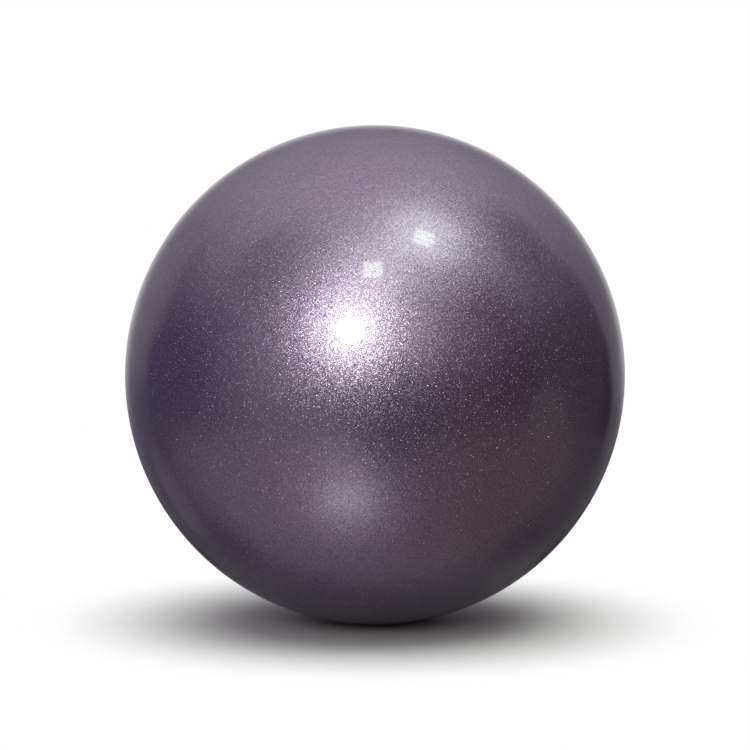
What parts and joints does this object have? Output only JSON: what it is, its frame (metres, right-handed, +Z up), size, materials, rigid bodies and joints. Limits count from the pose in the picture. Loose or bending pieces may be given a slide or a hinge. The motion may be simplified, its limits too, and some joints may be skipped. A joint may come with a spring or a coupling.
{
  "type": "rhythmic gymnastics ball",
  "caption": "Air-filled rhythmic gymnastics ball with a glossy metal-flake skin over an opaque carcass, a self-sealing needle valve and a flush push-in plug.",
  "frame": {"origin": "the centre of the ball", "axes": "+Z up, away from the floor patch; +Y along the valve's axis, pointing out of the ball; -Y is the side that the picture shows"},
  "size_m": [0.185, 0.1847, 0.1847],
  "materials": {
    "flake_skin": "clear glossy skin full of fine dusty purple metal flakes",
    "carcass_compound": "plain matt purple compound",
    "boot_rubber": "matt dark purple rubber",
    "core_rubber": "matt black rubber",
    "plug_plastic": "satin off-white plastic"
  },
  "bodies": {
    "ball": {"outer_skin": "flake_skin", "inner_carcass": "carcass_compound", "valve_boot": "boot_rubber", "valve_core": "core_rubber"},
    "plug": {"valve_plug": "plug_plastic"}
  },
  "joints": [
    {"name": "plug_pull", "type": "slide", "parent": "ball", "child": "plug", "axis": [0, 1, 0], "range_m": [0, 0.012]}
  ]
}
